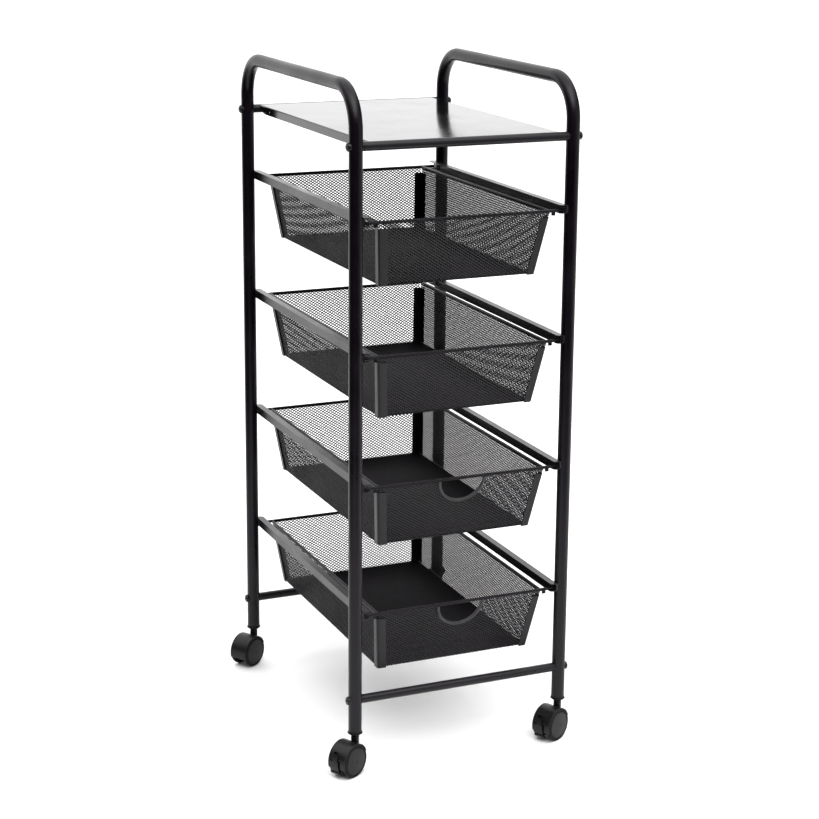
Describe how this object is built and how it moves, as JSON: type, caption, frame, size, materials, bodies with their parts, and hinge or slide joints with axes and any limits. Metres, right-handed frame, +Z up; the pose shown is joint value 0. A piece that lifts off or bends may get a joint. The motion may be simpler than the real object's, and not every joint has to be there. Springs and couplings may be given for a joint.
{
  "type": "rolling salon trolley",
  "caption": "Narrow black steel salon trolley: handled side frames, top shelf, pull-out expanded-mesh drawers on side rails, twin-wheel swivel casters, front ones braked.",
  "frame": {"origin": "on the floor, in the middle of the footprint with the casters trailing to the front left as at rest; the frame's own middle is 15.4 mm to +X and 8.2 mm to +Y of it", "axes": "+Z up, -Y the front that the drawers pull out of, +X the right of someone facing the front"},
  "size_m": [0.3794, 0.4879, 0.976],
  "materials": {
    "powder_coat": "satin black powder coat",
    "wire_coat": "satin black powder coat",
    "strip_coat": "satin black powder coat",
    "basket_mesh": "satin black coated expanded steel",
    "shelf_gloss": "gloss black paint",
    "bolt_black": "black coated steel",
    "stem_steel": "plated steel",
    "axle_steel": "plated steel",
    "socket_plastic": "moulded black plastic",
    "ring_plastic": "black plastic trim",
    "caster_plastic": "moulded black nylon",
    "wheel_plastic": "moulded dark nylon, worn at the tread",
    "lever_plastic": "moulded black nylon"
  },
  "bodies": {
    "frame": {"side_frame_left": "powder_coat", "side_frame_right": "powder_coat", "shelf_bar_front": "powder_coat", "shelf_bar_rear": "powder_coat", "base_bar_front": "powder_coat", "base_bar_rear": "powder_coat", "bar_end_plugs": "socket_plastic", "frame_bolts": "bolt_black", "top_shelf": "shelf_gloss", "tube_end_sockets": "socket_plastic", "rail_1_left": "powder_coat", "rail_1_right": "powder_coat", "rail_2_left": "powder_coat", "rail_2_right": "powder_coat", "rail_3_left": "powder_coat", "rail_3_right": "powder_coat", "rail_4_left": "powder_coat", "rail_4_right": "powder_coat", "caster_front_left_stem": "stem_steel", "caster_front_right_stem": "stem_steel", "caster_rear_left_stem": "stem_steel", "caster_rear_right_stem": "stem_steel"},
    "drawer_1": {"drawer_1_rim": "wire_coat", "drawer_1_mesh": "basket_mesh", "drawer_1_corner_strips": "strip_coat"},
    "drawer_2": {"drawer_2_rim": "wire_coat", "drawer_2_mesh": "basket_mesh", "drawer_2_corner_strips": "strip_coat"},
    "drawer_3": {"drawer_3_rim": "wire_coat", "drawer_3_mesh": "basket_mesh", "drawer_3_corner_strips": "strip_coat", "drawer_3_handle_ring": "ring_plastic"},
    "drawer_4": {"drawer_4_rim": "wire_coat", "drawer_4_mesh": "basket_mesh", "drawer_4_corner_strips": "strip_coat", "drawer_4_handle_ring": "ring_plastic"},
    "caster_front_left_swivel": {"caster_front_left_hood": "caster_plastic", "caster_front_left_axle": "axle_steel"},
    "caster_front_left_wheel_a": {"caster_front_left_wheel_a": "wheel_plastic"},
    "caster_front_left_wheel_b": {"caster_front_left_wheel_b": "wheel_plastic"},
    "caster_front_left_brake_lever": {"caster_front_left_brake_lever": "lever_plastic"},
    "caster_front_right_swivel": {"caster_front_right_hood": "caster_plastic", "caster_front_right_axle": "axle_steel"},
    "caster_front_right_wheel_a": {"caster_front_right_wheel_a": "wheel_plastic"},
    "caster_front_right_wheel_b": {"caster_front_right_wheel_b": "wheel_plastic"},
    "caster_front_right_brake_lever": {"caster_front_right_brake_lever": "lever_plastic"},
    "caster_rear_left_swivel": {"caster_rear_left_hood": "caster_plastic", "caster_rear_left_axle": "axle_steel"},
    "caster_rear_left_wheel_a": {"caster_rear_left_wheel_a": "wheel_plastic"},
    "caster_rear_left_wheel_b": {"caster_rear_left_wheel_b": "wheel_plastic"},
    "caster_rear_right_swivel": {"caster_rear_right_hood": "caster_plastic", "caster_rear_right_axle": "axle_steel"},
    "caster_rear_right_wheel_a": {"caster_rear_right_wheel_a": "wheel_plastic"},
    "caster_rear_right_wheel_b": {"caster_rear_right_wheel_b": "wheel_plastic"}
  },
  "joints": [
    {"name": "drawer_1_slide", "type": "slide", "parent": "frame", "child": "drawer_1", "axis": [0, -1, 0], "range_m": [0, 0.3]},
    {"name": "drawer_2_slide", "type": "slide", "parent": "frame", "child": "drawer_2", "axis": [0, -1, 0], "range_m": [0, 0.3]},
    {"name": "drawer_3_slide", "type": "slide", "parent": "frame", "child": "drawer_3", "axis": [0, -1, 0], "range_m": [0, 0.3]},
    {"name": "drawer_4_slide", "type": "slide", "parent": "frame", "child": "drawer_4", "axis": [0, -1, 0], "range_m": [0, 0.3]},
    {"name": "caster_front_left_swivel", "type": "hinge", "parent": "frame", "child": "caster_front_left_swivel", "pos_m": [-0.1456, -0.2108, 0.038], "axis": [0, 0, 1], "continuous": true},
    {"name": "caster_front_left_wheel_a_spin", "type": "hinge", "parent": "caster_front_left_swivel", "child": "caster_front_left_wheel_a", "pos_m": [-0.15994, -0.21875, 0.0237], "axis": [-0.4848, 0.8746, 0], "continuous": true},
    {"name": "caster_front_left_wheel_b_spin", "type": "hinge", "parent": "caster_front_left_swivel", "child": "caster_front_left_wheel_b", "pos_m": [-0.15994, -0.21875, 0.0237], "axis": [-0.4848, 0.8746, 0], "continuous": true},
    {"name": "caster_front_left_brake_lever_hinge", "type": "hinge", "parent": "caster_front_left_swivel", "child": "caster_front_left_brake_lever", "pos_m": [-0.17789, -0.22298, 0.03395], "axis": [-0.4848, 0.8746, 0], "range_deg": [0, 22]},
    {"name": "caster_front_right_swivel", "type": "hinge", "parent": "frame", "child": "caster_front_right_swivel", "pos_m": [0.1764, -0.2108, 0.038], "axis": [0, 0, 1], "continuous": true},
    {"name": "caster_front_right_wheel_a_spin", "type": "hinge", "parent": "caster_front_right_swivel", "child": "caster_front_right_wheel_a", "pos_m": [0.16179, -0.21824, 0.0237], "axis": [-0.454, 0.891, 0], "continuous": true},
    {"name": "caster_front_right_wheel_b_spin", "type": "hinge", "parent": "caster_front_right_swivel", "child": "caster_front_right_wheel_b", "pos_m": [0.16179, -0.21824, 0.0237], "axis": [-0.454, 0.891, 0], "continuous": true},
    {"name": "caster_front_right_brake_lever_hinge", "type": "hinge", "parent": "caster_front_right_swivel", "child": "caster_front_right_brake_lever", "pos_m": [0.1437, -0.22185, 0.03395], "axis": [-0.454, 0.891, 0], "range_deg": [0, 22]},
    {"name": "caster_rear_left_swivel", "type": "hinge", "parent": "frame", "child": "caster_rear_left_swivel", "pos_m": [-0.1456, 0.2272, 0.038], "axis": [0, 0, 1], "continuous": true},
    {"name": "caster_rear_left_wheel_a_spin", "type": "hinge", "parent": "caster_rear_left_swivel", "child": "caster_rear_left_wheel_a", "pos_m": [-0.15935, 0.21827, 0.0237], "axis": [-0.5446, 0.8387, 0], "continuous": true},
    {"name": "caster_rear_left_wheel_b_spin", "type": "hinge", "parent": "caster_rear_left_swivel", "child": "caster_rear_left_wheel_b", "pos_m": [-0.15935, 0.21827, 0.0237], "axis": [-0.5446, 0.8387, 0], "continuous": true},
    {"name": "caster_rear_right_swivel", "type": "hinge", "parent": "frame", "child": "caster_rear_right_swivel", "pos_m": [0.1764, 0.2272, 0.038], "axis": [0, 0, 1], "continuous": true},
    {"name": "caster_rear_right_wheel_a_spin", "type": "hinge", "parent": "caster_rear_right_swivel", "child": "caster_rear_right_wheel_a", "pos_m": [0.1622, 0.219, 0.0237], "axis": [-0.5, 0.866, 0], "continuous": true},
    {"name": "caster_rear_right_wheel_b_spin", "type": "hinge", "parent": "caster_rear_right_swivel", "child": "caster_rear_right_wheel_b", "pos_m": [0.1622, 0.219, 0.0237], "axis": [-0.5, 0.866, 0], "continuous": true}
  ]
}
